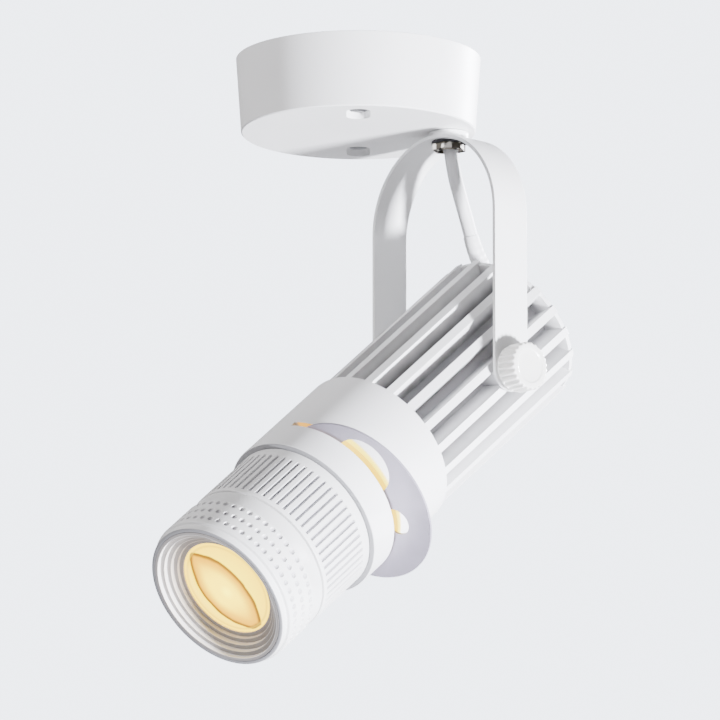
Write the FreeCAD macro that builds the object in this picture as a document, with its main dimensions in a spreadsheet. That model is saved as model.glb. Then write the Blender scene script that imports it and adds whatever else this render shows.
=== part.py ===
import FreeCAD, Part
import math
import os
import Sketcher

# Ceiling spotlight on a round canopy: pan swivel, tilting head, aperture wheel
# and focusing front tube.  Millimetres, +Z up, origin at the centre of the
# ceiling face.  The tilt axis is X and the beam leaves toward -Y and down.

os.makedirs("parts", exist_ok=True)
doc = FreeCAD.newDocument("CeilingSpotlight")
Vector = FreeCAD.Vector
Rotation = FreeCAD.Rotation
Placement = FreeCAD.Placement

SIZES = [
    # attitude of the lamp as it is stored, degrees
    ("canopy_turn", 47.1), ("tilt_down", 39.3),
    # canopy
    ("canopy_top_r", 52.2), ("canopy_low_r", 50.0), ("canopy_depth", 32.0), ("canopy_wall", 2.0),
    ("canopy_floor", 2.5), ("canopy_edge", 0.5),
    ("recess_r", 5.0), ("recess_half", 4.2), ("recess_depth", 4.0), ("recess_side", 2.7),
    ("recess_wall", 1.6), ("post_r", 4.2),
    ("fix_screw_r", 2.0), ("fix_head_r", 3.8), ("fix_head_t", 2.4), ("hole_clear", 0.2),
    # plate on the ceiling
    ("plate_gap", 1.0), ("plate_t", 1.5), ("bush_r", 4.2), ("bush_len", 4.5), ("bush_end_gap", 0.3),
    ("wire_hole_r", 7.0), ("wire_hole_x", 20.0), ("wire_hole_y", 20.0), ("anchor_r", 2.4),
    ("anchor_offset", 30.0), ("grommet_lip", 1.6), ("grommet_wall", 2.5), ("grommet_t", 4.5),
    # driver and terminals
    ("driver_side", 12.5), ("driver_w", 27.0), ("driver_len", 54.0), ("driver_tall", 19.0),
    ("driver_wall", 1.5), ("driver_lid_t", 1.6), ("vent_w", 2.0), ("board_t", 1.6), ("board_gap", 0.5),
    ("board_raise", 3.0), ("standoff_r", 2.2), ("choke_r", 6.5), ("choke_len", 9.0),
    ("cap_r", 3.5), ("cap_len", 8.0), ("coil_w", 11.0), ("coil_tall", 10.0),
    ("term_gap", 5.0), ("term_w", 12.0), ("term_len", 24.0), ("term_tall", 13.0),
    ("term_screw_r", 2.0), ("term_screw_t", 1.5), ("lead_r", 1.2), ("lead_apart", 1.6),
    # swivel
    ("swivel_r", 5.0), ("swivel_bore", 4.2), ("swivel_fit", 0.06), ("sleeve_t", 1.2),
    ("sleeve_flange_r", 8.4), ("sleeve_flange_t", 1.0), ("sleeve_side", 1.0), ("face_gap", 0.3),
    ("friction_t", 1.0), ("friction_r", 8.2), ("locknut_flats", 14.0), ("locknut_t", 3.5),
    ("nut_flats", 12.6), ("nut_t", 2.8), ("tube_over", 1.2), ("tube_under", 0.3), ("boss_r", 8.5),
    ("boss_gap", 2.4), ("saddle_r", 7.4), ("saddle_edge", 0.4),
    # yoke
    ("pivot_drop", 108.7), ("strap_half", 36.3), ("strap_t", 1.5), ("strap_w", 18.6),
    ("stud_r", 3.0), ("stud_fit", 0.08), ("nut_hole_fit", 0.05),
    # heat sink, positions along the optical axis from the tilt pivot
    ("sink_rear", 42.4), ("sink_front", 55.3), ("sink_core_r", 25.0), ("fin_gap", 1.3),
    ("fin_t", 3.6), ("fin_count", 20.0), ("end_plate_in", 0.8), ("end_plate_t", 2.0),
    ("pivot_boss_r", 6.5), ("spacer_t", 2.0), ("spacer_r", 6.0), ("stud_depth", 3.0),
    ("stud_tip", 0.2), ("thread_clear", 0.05),
    ("knob_washer_r", 7.5), ("knob_washer_t", 1.1), ("knob_r", 10.3), ("knob_rib_h", 0.6),
    ("knob_t", 9.8), ("knob_rib_w", 1.3), ("knob_ribs", 24.0), ("knob_flange_t", 1.0),
    ("knob_flange_in", 0.4), ("knob_rim", 2.5), ("knob_dish", 0.5), ("knob_edge", 0.6),
    # rear cover and cord
    ("cap_cover_r", 14.0), ("cap_cover_wall", 1.8), ("gland_edge", 1.6), ("gland_lid", 1.1),
    ("gland_r", 4.4), ("gland_grip", 0.8), ("gland_flange", 2.5), ("gland_len", 8.0),
    ("gland_tail", 3.0), ("gland_taper", 0.8), ("gland_bore", 2.2), ("cover_screw_in", 8.0),
    ("small_screw_r", 1.5), ("small_head_r", 2.6), ("small_head_t", 1.6), ("cover_post_in", 5.0),
    ("cord_r", 3.0), ("cord_under", 2.5), ("cord_lean", 10.6), ("cord_fall", 29.0), ("cord_rise", 12.0),
    # lamp
    ("led_r", 14.0), ("led_t", 1.6), ("emitter_r", 6.0), ("emitter_t", 1.0), ("emitter_gap", 2.0),
    ("holder_over", 1.2), ("holder_t", 3.0), ("led_screw_r", 1.2),
    ("led_head_r", 2.1), ("led_head_t", 1.3), ("led_screw_in", 6.0),
    # collar
    ("collar_len", 53.7), ("collar_wall", 2.5), ("collar_edge", 0.4), ("shoulder_w", 0.8),
    ("collar_back_t", 3.0), ("hole_gap", 1.8), ("collar_screw_in", 9.0), ("screw_gap", 0.5),
    ("slot_fore", 15.6), ("slot_w", 2.5), ("slot_back", 2.0), ("gate_post_in", 4.4),
    ("gate_post_r", 3.2), ("gate_behind", 4.9), ("gate_t", 1.5), ("gate_gap", 0.2),
    ("gate_hole_r", 13.0),
    # condenser
    ("holder_gap", 0.4), ("optic_wall", 1.4), ("optic_flange_w", 1.4), ("optic_flange_t", 2.0),
    ("optic_gap", 4.5), ("optic_nose", 8.0), ("optic_seat_t", 1.5), ("optic_step", 1.6),
    ("lens_gap", 0.1), ("condenser_edge", 2.0), ("condenser_dome", 4.0), ("ring_t", 1.5),
    # wheel
    ("wheel_x", 17.5), ("wheel_y", 3.8), ("wheel_over", 4.35), ("wheel_t", 1.0), ("wheel_fit", 0.06),
    ("axle_r", 2.5), ("axle_head_r", 4.6), ("axle_head_t", 1.4), ("axle_collar_r", 5.0),
    ("hole_pitch", 20.4), ("hole_a_r", 13.1), ("hole_b_r", 6.1), ("hole_c_r", 11.0),
    ("hole_d_r", 8.0), ("hole_e_r", 4.5),
    ("hole_a_at", 46.0), ("hole_b_at", 321.0), ("hole_c_at", 243.0), ("hole_d_at", 168.0),
    ("hole_e_at", 109.0),
    # guide tube and focusing ring
    ("guide_r", 29.0), ("guide_wall", 1.8), ("guide_flange_t", 5.0), ("guide_flange_w", 4.8),
    ("guide_in", 3.0), ("ring_play", 0.3), ("zoom_fit", 0.08),
    ("zoom_wall", 5.0), ("zoom_len", 32.7), ("zoom_edge", 0.4), ("groove_deep", 1.0),
    ("groove_back", 4.7), ("groove_fore", 2.0), ("land_count", 62.0), ("land_w", 2.5),
    ("clip_edge", 0.2), ("clip_t", 1.2), ("clip_depth", 0.6), ("clip_over", 1.2), ("clip_gap", 0.4),
    ("pin_back", 10.7), ("pin_edge", 5.0), ("pin_r", 1.5), ("pin_over", 2.0), ("pin_clear", 0.15),
    ("groove_clear", 0.35), ("zoom_travel", 8.0), ("zoom_turn", 90.0),
    # lens tube
    ("tube_fit", 0.08), ("tube_wall", 2.0), ("head_gap", 0.6), ("head_len", 27.8), ("head_in", 0.4),
    ("head_edge", 0.5), ("grip_over", 0.5), ("grip_back", 7.0), ("grip_edge", 0.4), ("lip_in", 0.7),
    ("lip_len", 3.6), ("lip_wall", 1.9), ("lip_edge", 0.4), ("lens_deep", 13.4), ("lens_in", 7.0),
    ("front_lens_t", 5.9), ("front_dome", 1.5), ("seat_in", 1.6), ("seat_t", 3.0),
    ("baffle_rim", 1.3), ("lens_cover", 2.4), ("baffle_steps", 4.0), ("baffle_foot", 0.5),
    ("rear_lens_in", 1.52), ("rear_lens_t", 3.0), ("rear_dome", 2.0), ("rear_ring_in", 0.5),
]

sheet = doc.addObject("Spreadsheet::Sheet", "Sizes")
for row, (alias, number) in enumerate(SIZES, start=1):
    sheet.set("A%d" % row, alias)
    sheet.set("B%d" % row, repr(number))
    sheet.setAlias("B%d" % row, alias)
doc.recompute()

# Sizes that follow from others and a named clearance, wall or overlap.
TIED = {
    "plate_r": "canopy_top_r - canopy_wall - plate_gap",
    "pan_offset": "canopy_low_r - canopy_wall - sleeve_flange_r - sleeve_side",
    "fix_offset": "canopy_low_r - canopy_wall - recess_side - recess_wall - recess_r - recess_half",
    "grommet_r": "wire_hole_r + grommet_lip",
    "grommet_bore": "wire_hole_r - grommet_wall",
    "driver_x": "canopy_low_r - canopy_wall - driver_side - 0.5*driver_w",
    "term_x": "0.5*driver_w - driver_x + term_gap + 0.5*term_w",
    "arm_end_r": "0.5*strap_w",
    "pivot_flat": "strap_half - face_gap - spacer_t",
    "fin_r": "strap_half - fin_gap",
    "end_plate_r": "fin_r - end_plate_in",
    "stud_inner": "sink_core_r - stud_depth",
    "knob_base": "strap_half + strap_t + 2*face_gap + knob_washer_t",
    "stud_end": "knob_base + knob_t - 3*knob_dish - stud_tip",
    "knob_core_r": "knob_r - knob_rib_h",
    "knob_flange_r": "knob_r - knob_flange_in",
    "knob_dish_r": "knob_core_r - knob_rim",
    "gland_back": "gland_r + gland_edge",
    "cap_cover_t": "gland_back + gland_r + gland_lid",
    "cover_screw_at": "cap_cover_r - cover_post_in",
    "gland_nose_r": "gland_r - gland_taper",
    "gland_flats": "2*gland_r + gland_grip",
    "holder_bore": "emitter_r + emitter_gap",
    "holder_r": "led_r + holder_over",
    "led_screw_at": "0.5*holder_bore + 0.5*holder_r",
    "optic_r": "holder_r + holder_gap + optic_wall",
    "optic_flange_r": "optic_r + optic_flange_w",
    "collar_hole_r": "holder_r + hole_gap",
    "collar_screw_at": "optic_flange_r + small_head_r + screw_gap",
    "collar_mouth": "guide_r + guide_flange_w",
    "collar_bore": "collar_mouth - shoulder_w",
    "collar_r": "collar_mouth + collar_wall",
    "collar_front": "sink_front + collar_len",
    "shoulder_at": "collar_front - guide_flange_t",
    "gate_post_at": "collar_bore - gate_post_in",
    "slot_mid": "collar_front - slot_fore",
    "gate_back": "slot_mid - gate_behind",
    "optic_front": "gate_back - optic_gap",
    "optic_seat": "optic_front - optic_nose",
    "wheel_r": "collar_bore + wheel_over",
    "guide_bore": "guide_r - guide_wall",
    "zoom_body_r": "guide_r + zoom_wall",
    "zoom_rear": "collar_front + ring_play",
    "zoom_front": "zoom_rear + zoom_len",
    "groove_r": "zoom_body_r - groove_deep",
    "groove_rear": "zoom_rear + groove_back",
    "groove_front": "zoom_front - groove_fore",
    "guide_front": "zoom_front - guide_in",
    "clip_at": "guide_front - clip_edge - clip_t",
    "clip_out_r": "guide_r + clip_over",
    "pin_at": "zoom_rear + pin_back",
    "pin_tip_r": "guide_r + pin_over",
    "tube_rear": "pin_at - pin_edge",
    "tube_r": "guide_bore - tube_fit",
    "tube_bore": "tube_r - tube_wall",
    "head_rear": "zoom_front + head_gap",
    "head_front": "head_rear + head_len",
    "head_r": "zoom_body_r - head_in",
    "grip_r": "head_r + grip_over",
    "grip_rear": "head_rear + grip_back",
    "lip_rear": "head_front - lip_len",
    "lip_r": "head_r - lip_in",
    "baffle_r": "lip_r - lip_wall",
    "baffle_lip": "baffle_r - baffle_rim",
    "front_lens_r": "baffle_r - lens_in",
    "front_lens_back": "head_front - lens_deep",
    "front_lens_front": "front_lens_back + front_lens_t",
    "baffle_hole": "front_lens_r - lens_cover",
    "rear_lens_r": "tube_bore - rear_lens_in",
    "rear_ring_at": "tube_rear + rear_ring_in",
    "rear_lens_at": "rear_ring_at + ring_t",
}

SIGNS = {"+": 1.0, "-": -1.0}
TURNS = {
    "z": Rotation(),
    "-z": Rotation(Vector(1, 0, 0), 180),
    "x": Rotation(Vector(0, 1, 0), 90),
    "-x": Rotation(Vector(0, 1, 0), -90),
    "y": Rotation(Vector(1, 0, 0), -90),
    "-y": Rotation(Vector(1, 0, 0), 90),
}
finished = {}


def factor_value(factor):
    """A number written out, a tied size, or the value of the sheet cell with that name."""
    if factor[0].isdigit():
        return float(factor)
    if factor in TIED:
        return size(TIED[factor])
    return float(sheet.get(factor))


def size(text):
    """Value of a sum of products such as "wall + 2*gap"."""
    total = 0.0
    sign = 1.0
    for word in text.split():
        if word in SIGNS:
            sign = SIGNS[word]
            continue
        product = 1.0
        for factor in word.split("*"):
            product *= factor_value(factor)
        total += sign * product
    return total


def factor_formula(factor):
    if factor[0].isdigit():
        return factor
    if factor in TIED:
        return "(" + formula(TIED[factor]) + ")"
    return "Sizes." + factor


def formula(text):
    """The same sum as an expression that reads the sheet."""
    words = []
    for word in text.split():
        if word in SIGNS:
            words.append(word)
            continue
        words.append(" * ".join([factor_formula(factor) for factor in word.split("*")]))
    return " ".join(words)


def spot(at, axis="z", around=0.0):
    """Placement from three sums, a direction and a turn about the local Z axis."""
    place = Placement(Vector(size(at[0]), size(at[1]), size(at[2])), TURNS[axis])
    return Placement(Vector(), Rotation(Vector(0, 0, 1), around)).multiply(place)


def rod(radius, length, at=("0", "0", "0"), axis="z", around=0.0):
    piece = doc.addObject("Part::Cylinder", "Rod")
    piece.setExpression("Radius", formula(radius))
    piece.setExpression("Height", formula(length))
    piece.Placement = spot(at, axis, around)
    return piece


def block(x_len, y_len, z_len, at=("0", "0", "0"), around=0.0):
    """Box whose middle of the lower face is at the given point."""
    piece = doc.addObject("Part::Box", "Block")
    piece.setExpression("Length", formula(x_len))
    piece.setExpression("Width", formula(y_len))
    piece.setExpression("Height", formula(z_len))
    corner = Placement(Vector(-size(x_len) / 2, -size(y_len) / 2, 0), Rotation())
    piece.Placement = spot(at, "z", around).multiply(corner)
    return piece


def hexagon(flats, length, at=("0", "0", "0"), axis="z"):
    piece = doc.addObject("Part::Prism", "Hexagon")
    piece.Polygon = 6
    piece.setExpression("Circumradius", formula(flats) + " / sqrt(3)")
    piece.setExpression("Height", formula(length))
    piece.Placement = spot(at, axis)
    return piece


def fuse(pieces):
    joined = doc.addObject("Part::MultiFuse", "Fuse")
    joined.Shapes = pieces
    return joined


def cut(base, tools):
    tool = tools[0]
    if len(tools) > 1:
        tool = fuse(tools)
    result = doc.addObject("Part::Cut", "Cut")
    result.Base = base
    result.Tool = tool
    return result


def common(first, second):
    result = doc.addObject("Part::Common", "Common")
    result.Base = first
    result.Tool = second
    return result


def group(pieces):
    result = doc.addObject("Part::Compound", "Group")
    result.Links = pieces
    return result


def finish(piece, name, place):
    """Name a finished sub-part and move it from its own frame to the lamp's."""
    piece.Label = name
    piece.Placement = place.multiply(piece.Placement)
    finished[name] = piece


def plane_of(body, role):
    """One of the body's own origin planes."""
    for feature in body.Origin.OriginFeatures:
        if feature.Role == role:
            return feature
    raise RuntimeError("no plane " + role)


def outline_sketch(body, role, points, raise_by="0"):
    """Closed outline whose corners are all tied to the sheet."""
    sketch = body.newObject("Sketcher::SketchObject", "Outline")
    sketch.AttachmentSupport = [(plane_of(body, role), "")]
    sketch.MapMode = "FlatFace"
    sketch.AttachmentOffset = Placement(Vector(0, 0, size(raise_by)), Rotation())
    corners = [Vector(size(x), size(y), 0) for x, y in points]
    count = len(corners)
    for index in range(count):
        sketch.addGeometry(Part.LineSegment(corners[index], corners[(index + 1) % count]))
    for index in range(count):
        sketch.addConstraint(Sketcher.Constraint("Coincident", index, 2, (index + 1) % count, 1))
    for index, (x, y) in enumerate(points):
        for kind, text, axis_line in (("DistanceX", x, -2), ("DistanceY", y, -1)):
            if text == "0":
                sketch.addConstraint(Sketcher.Constraint("PointOnObject", index, 1, axis_line))
                continue
            number = sketch.addConstraint(
                Sketcher.Constraint(kind, -1, 1, index, 1, size(text)))
            sketch.setExpression("Constraints[%d]" % number, formula(text))
    return sketch


def lathe(name, points):
    """Body of revolution about its Z axis from (radius, height) corners."""
    body = doc.addObject("PartDesign::Body", "Body")
    sketch = outline_sketch(body, "XZ_Plane", points)
    turned = body.newObject("PartDesign::Revolution", "Turned")
    turned.Profile = sketch
    turned.ReferenceAxis = (sketch, ["V_Axis"])
    turned.Angle = 360.0
    doc.recompute()
    body.Tip = turned
    body.Label = name
    return body


def add_bars(body, inner, outer, width, start, length, count):
    """Pad one bar on the body and repeat it round the Z axis."""
    half = "0.5*" + width
    points = [(inner, "0 - " + half), (outer, "0 - " + half), (outer, half), (inner, half)]
    sketch = outline_sketch(body, "XY_Plane", points, start)
    bar = body.newObject("PartDesign::Pad", "Bar")
    bar.Profile = sketch
    bar.setExpression("Length", formula(length))
    doc.recompute()
    body.Tip = bar
    ring = body.newObject("PartDesign::PolarPattern", "Bars")
    ring.Originals = [bar]
    ring.Axis = (sketch, ["N_Axis"])
    ring.Angle = 360.0
    ring.setExpression("Occurrences", formula(count))
    body.Tip = ring
    doc.recompute()


def soft_tube(points, radius):
    """Round cord through the points: straight runs joined by tangent arcs."""
    edges = []
    start = points[0]
    for before, corner, after in zip(points, points[1:], points[2:]):
        back = before.sub(corner)
        ahead = after.sub(corner)
        half_turn = (math.pi - back.getAngle(ahead)) / 2
        reach = 0.45 * min(back.Length, ahead.Length)
        bend_r = reach / math.tan(half_turn)
        first = corner.add(Vector(back).normalize().multiply(reach))
        last = corner.add(Vector(ahead).normalize().multiply(reach))
        inward = first.sub(corner).add(last.sub(corner)).normalize()
        middle = corner.add(inward.multiply(bend_r / math.cos(half_turn) - bend_r))
        edges.append(Part.makeLine(start, first))
        edges.append(Part.Arc(first, middle, last).toShape())
        start = last
        print("bend radius", round(bend_r, 1))
    edges.append(Part.makeLine(start, points[-1]))
    spine = Part.Wire(edges)
    ring = Part.Wire(Part.makeCircle(radius, points[0], points[1].sub(points[0])))
    tube = spine.makePipeShell([ring], True, True)
    print("volume ratio", round(tube.Volume / (math.pi * radius ** 2 * spine.Length), 4))
    return tube


# ---------------------------------------------------------------- places

pan_x = size("pan_offset") * math.cos(math.radians(size("canopy_turn")))
pan_y = size("pan_offset") * math.sin(math.radians(size("canopy_turn")))
pivot_z = size("0 - canopy_depth - pivot_drop")


def in_canopy():
    return Placement(Vector(), Rotation(Vector(0, 0, 1), size("canopy_turn")))


def in_yoke():
    return Placement(Vector(pan_x, pan_y, pivot_z), Rotation())


def in_head():
    return Placement(Vector(pan_x, pan_y, pivot_z), Rotation(Vector(1, 0, 0), 90 + size("tilt_down")))


# ---------------------------------------------------------------- canopy

def make_canopy_cup():
    floor = "0 - canopy_depth + canopy_floor"
    shell = lathe("shell", [
        ("0", "0 - canopy_depth"),
        ("canopy_low_r - canopy_edge", "0 - canopy_depth"),
        ("canopy_low_r", "0 - canopy_depth + canopy_edge"),
        ("canopy_top_r", "0"),
        ("canopy_top_r - canopy_wall", "0"),
        ("canopy_low_r - canopy_wall", floor),
        ("0", floor),
    ])
    added = [shell]
    removed = [rod("swivel_r + swivel_fit + sleeve_t", "3*canopy_floor",
                   ("pan_offset", "0", "0 - canopy_depth - canopy_floor"))]
    under = "0 - canopy_depth"
    for side in (90, 270):
        for shift in ("fix_offset - recess_half", "fix_offset + recess_half"):
            added.append(rod("recess_r + recess_wall", "recess_depth + recess_wall",
                             (shift, "0", under), around=side))
            removed.append(rod("recess_r", "recess_depth", (shift, "0", under), around=side))
        added.append(block("2*recess_half", "2*recess_r + 2*recess_wall", "recess_depth + recess_wall",
                           ("fix_offset", "0", under), around=side))
        removed.append(block("2*recess_half", "2*recess_r", "recess_depth",
                             ("fix_offset", "0", under), around=side))
        added.append(rod("post_r", "canopy_depth - canopy_floor - plate_t - bush_len",
                         ("fix_offset", "0", floor), around=side))
        removed.append(rod("fix_screw_r + hole_clear", "canopy_depth", ("fix_offset", "0", under),
                           around=side))
    outside = lathe("outside", [
        ("0", "0 - canopy_depth"),
        ("canopy_low_r - canopy_edge", "0 - canopy_depth"),
        ("canopy_low_r", "0 - canopy_depth + canopy_edge"),
        ("canopy_top_r", "0"),
        ("0", "0"),
    ])
    finish(cut(common(fuse(added), outside), removed), "canopy_cup", in_canopy())


def make_ceiling_plate():
    added = [rod("plate_r", "plate_t", ("0", "0", "0 - plate_t"))]
    removed = [rod("wire_hole_r", "3*plate_t", ("wire_hole_x", "wire_hole_y", "0 - 2*plate_t"))]
    for side in (90, 270):
        added.append(rod("bush_r", "bush_len + plate_t", ("fix_offset", "0", "0 - plate_t - bush_len"),
                         around=side))
        removed.append(rod("fix_screw_r + thread_clear", "bush_len + 3*plate_t",
                           ("fix_offset", "0", "0 - 2*plate_t - bush_len"), around=side))
    for side in (0, 180):
        removed.append(rod("anchor_r", "3*plate_t", ("anchor_offset", "0", "0 - 2*plate_t"),
                           around=side))
    finish(cut(fuse(added), removed), "ceiling_plate", in_canopy())


def make_canopy_screws():
    screws = []
    seat = "0 - canopy_depth + recess_depth"
    for side in (90, 270):
        head = rod("fix_head_r", "fix_head_t", ("fix_offset", "0", seat + " - fix_head_t"), around=side)
        shank = rod("fix_screw_r", "canopy_depth - recess_depth - bush_end_gap",
                    ("fix_offset", "0", seat), around=side)
        drive = block("0.4*fix_head_r", "3*fix_head_r", "0.4*fix_head_t",
                      ("fix_offset", "0", seat + " - fix_head_t"), around=side)
        screws.append(cut(fuse([head, shank]), [drive]))
    finish(group(screws), "canopy_screws", in_canopy())


def make_cable_grommet():
    body = lathe("grommet", [
        ("grommet_bore", "0 - grommet_t"),
        ("grommet_r", "0 - grommet_t"),
        ("grommet_r", "0 - plate_t"),
        ("wire_hole_r", "0 - plate_t"),
        ("wire_hole_r", "0 - 0.2*plate_t"),
        ("grommet_bore", "0 - 0.2*plate_t"),
    ])
    body.Placement = spot(("wire_hole_x", "wire_hole_y", "0"))
    finish(body, "cable_grommet", in_canopy())


def driver_at(lift):
    return ("0 - driver_x", "0", "0 - canopy_depth + canopy_floor + " + lift)


def make_driver():
    outer = block("driver_w", "driver_len", "driver_tall", driver_at("0"))
    inner = block("driver_w - 2*driver_wall", "driver_len - 2*driver_wall", "driver_tall",
                  driver_at("driver_wall"))
    slot = block("driver_w", "6*lead_r", "4*lead_r",
                 ("0", "0", "0 - canopy_depth + canopy_floor + driver_tall - 4*lead_r"))
    finish(cut(outer, [inner, slot]), "driver_case", in_canopy())

    lid = block("driver_w", "driver_len", "driver_lid_t", driver_at("driver_tall"))
    vents = []
    for step in range(-3, 4):
        vent = block("0.55*driver_w", "vent_w", "3*driver_lid_t", driver_at("driver_tall - driver_lid_t"))
        vent.Placement.Base.y += step * size("driver_len") / 9
        vents.append(vent)
    finish(cut(lid, vents), "driver_lid", in_canopy())

    deck = "driver_wall + board_raise"
    parts = [block("driver_w - 2*driver_wall - 2*board_gap", "driver_len - 2*driver_wall - 2*board_gap",
                   "board_t", driver_at(deck))]
    for x_side in (-1, 1):
        for y_side in (-1, 1):
            leg = rod("standoff_r", "board_raise + 0.5*board_t", driver_at("driver_wall"))
            leg.Placement.Base.x += x_side * size("0.36*driver_w")
            leg.Placement.Base.y += y_side * size("0.42*driver_len")
            parts.append(leg)
    top = deck + " + board_t"
    for offset, piece in (
        (0.30, rod("choke_r", "choke_len", driver_at(top))),
        (0.02, block("coil_w", "coil_w", "coil_tall", driver_at(top))),
        (-0.24, rod("cap_r", "cap_len", driver_at(top))),
        (-0.39, rod("cap_r", "cap_len", driver_at(top))),
    ):
        piece.Placement.Base.y += offset * size("driver_len")
        parts.append(piece)
    finish(fuse(parts), "driver_board", in_canopy())


def make_terminal_block():
    low = "0 - canopy_depth + canopy_floor"
    body = block("term_w", "term_len", "term_tall", ("term_x", "0", low))
    holes = []
    screws = []
    for step in (-1, 0, 1):
        well = rod("term_screw_r + hole_clear", "term_tall",
                   ("term_x", "0", low + " + 0.55*term_tall"))
        well.Placement.Base.y += step * size("term_len") / 3
        holes.append(well)
        screw = rod("term_screw_r", "term_screw_t", ("term_x", "0", low + " + 0.55*term_tall"))
        screw.Placement.Base.y += step * size("term_len") / 3
        screws.append(screw)
    finish(cut(body, holes), "terminal_block", in_canopy())
    finish(group(screws), "terminal_screws", in_canopy())


def make_inner_leads():
    """Two insulated leads from the top of the swivel tube to the terminals."""
    start = Vector(size("pan_offset"), 0, size("0 - canopy_depth - pivot_drop") + swivel_top() + 0.3)
    wall_x = size("term_x + 0.5*term_w")
    end_z = size("0 - canopy_depth + canopy_floor + 0.35*term_tall")
    route = [(0, 0), (-0.3, 8.4), (-8.0, 13.6), (-17.0, 11.5)]
    leads = []
    for side in (-1, 1):
        y = side * size("lead_apart")
        points = [Vector(start.x + dx, y * (1 + 0.05 * k), start.z + dz)
                  for k, (dx, dz) in enumerate(route)]
        points.append(Vector(wall_x + 7.5, y * 1.7, end_z + 3.0))
        points.append(Vector(wall_x + 0.6, y * 2.0, end_z + 0.3))
        leads.append(soft_tube(points, size("lead_r")))
    wires = doc.addObject("Part::Feature", "Leads")
    wires.Shape = Part.Compound(leads)
    finish(wires, "inner_leads", in_canopy())


# ---------------------------------------------------------------- swivel

def swivel_top():
    """Height of the swivel tube's upper end above the tilt pivot."""
    return size("pivot_drop + canopy_floor + sleeve_flange_t + face_gap + friction_t + locknut_t"
                " + tube_over")


def strap_top():
    return "pivot_drop - boss_gap"


def saddle_low():
    """Flat underside of the saddle washer, below the strap's curved crown."""
    crown = size(strap_top()) - size("strap_half + strap_t")
    edge = crown + math.sqrt(size("strap_half") ** 2 - size("saddle_r") ** 2)
    return edge - size("saddle_edge")


def make_swivel_sleeve():
    body = lathe("sleeve", [
        ("swivel_r + swivel_fit", "0"),
        ("swivel_r + swivel_fit + sleeve_t", "0"),
        ("swivel_r + swivel_fit + sleeve_t", "canopy_floor"),
        ("sleeve_flange_r", "canopy_floor"),
        ("sleeve_flange_r", "canopy_floor + sleeve_flange_t"),
        ("swivel_r + swivel_fit", "canopy_floor + sleeve_flange_t"),
    ])
    body.Placement = spot(("pan_offset", "0", "0 - canopy_depth"))
    finish(body, "swivel_sleeve", in_canopy())


def make_swivel_tube():
    low = saddle_low() - size("nut_t + tube_under")
    outer = rod("swivel_r", "pivot_drop")
    inner = rod("swivel_bore", "pivot_drop")
    for piece in (outer, inner):
        piece.setExpression("Height", "%.4f" % (swivel_top() - low))
        piece.Placement.Base.z = low
    finish(cut(outer, [inner]), "swivel_tube", in_yoke())


def make_friction_washer():
    low = "pivot_drop + canopy_floor + sleeve_flange_t + face_gap"
    disc = rod("friction_r", "friction_t", ("0", "0", low))
    hole = rod("swivel_r + nut_hole_fit", "3*friction_t", ("0", "0", low + " - friction_t"))
    finish(cut(disc, [hole]), "friction_washer", in_yoke())
    high = low + " + friction_t"
    nut = hexagon("locknut_flats", "locknut_t", ("0", "0", high))
    bore = rod("swivel_r + thread_clear", "3*locknut_t", ("0", "0", high + " - locknut_t"))
    finish(cut(nut, [bore]), "inner_locknut", in_yoke())


def make_swivel_boss():
    """Spacer between canopy and strap, hollowed to the strap's curve."""
    drum = rod("boss_r", "boss_gap + strap_half", ("0", "0", "pivot_drop - face_gap"), axis="-z")
    crown = rod("strap_half + strap_t", "3*strap_w",
                ("0", "1.5*strap_w", strap_top() + " - strap_half - strap_t"), axis="-y")
    below = block("4*boss_r", "4*boss_r", "pivot_drop - boss_gap - 0.5*strap_half",
                  ("0", "0", "0"))
    bore = rod("swivel_r + nut_hole_fit", "2*pivot_drop")
    finish(cut(drum, [crown, below, bore]), "swivel_boss", in_yoke())


def make_saddle_washer():
    drum = rod("saddle_r", "pivot_drop")
    drum.Placement.Base.z = saddle_low()
    crown = rod("strap_half", "3*strap_w",
                ("0", "1.5*strap_w", strap_top() + " - strap_half - strap_t"), axis="-y")
    bore = rod("swivel_r + nut_hole_fit", "2*pivot_drop")
    finish(cut(common(drum, crown), [bore]), "saddle_washer", in_yoke())


def make_swivel_nut():
    nut = hexagon("nut_flats", "nut_t")
    nut.Placement.Base.z = saddle_low() - size("nut_t")
    bore = rod("swivel_r + thread_clear", "2*pivot_drop")
    finish(cut(nut, [bore]), "swivel_nut", in_yoke())


def make_yoke_strap():
    middle = strap_top() + " - strap_half - strap_t"
    arch = rod("strap_half + strap_t", "strap_w", ("0", "0.5*strap_w", middle), axis="-y")
    arch.Angle = 180
    added = [arch]
    removed = [
        rod("strap_half", "2*strap_w", ("0", "strap_w", middle), axis="-y"),
        block("2*strap_half", "2*strap_w", middle + " + 2*arm_end_r", ("0", "0", "0 - 2*arm_end_r")),
        rod("swivel_r + nut_hole_fit", "2*pivot_drop"),
    ]
    for axis, side in (("x", "strap_half"), ("-x", "0 - strap_half")):
        added.append(rod("arm_end_r", "strap_t", (side, "0", "0"), axis=axis))
    for middle_x in ("strap_half + 0.5*strap_t", "0 - strap_half - 0.5*strap_t"):
        added.append(block("strap_t", "strap_w", middle, (middle_x, "0", "0")))
    removed.append(rod("stud_r + stud_fit", "4*strap_half", ("0 - 2*strap_half", "0", "0"), axis="x"))
    finish(cut(fuse(added), removed), "yoke_strap", in_yoke())


# ---------------------------------------------------------------- pivot and knobs

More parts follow.
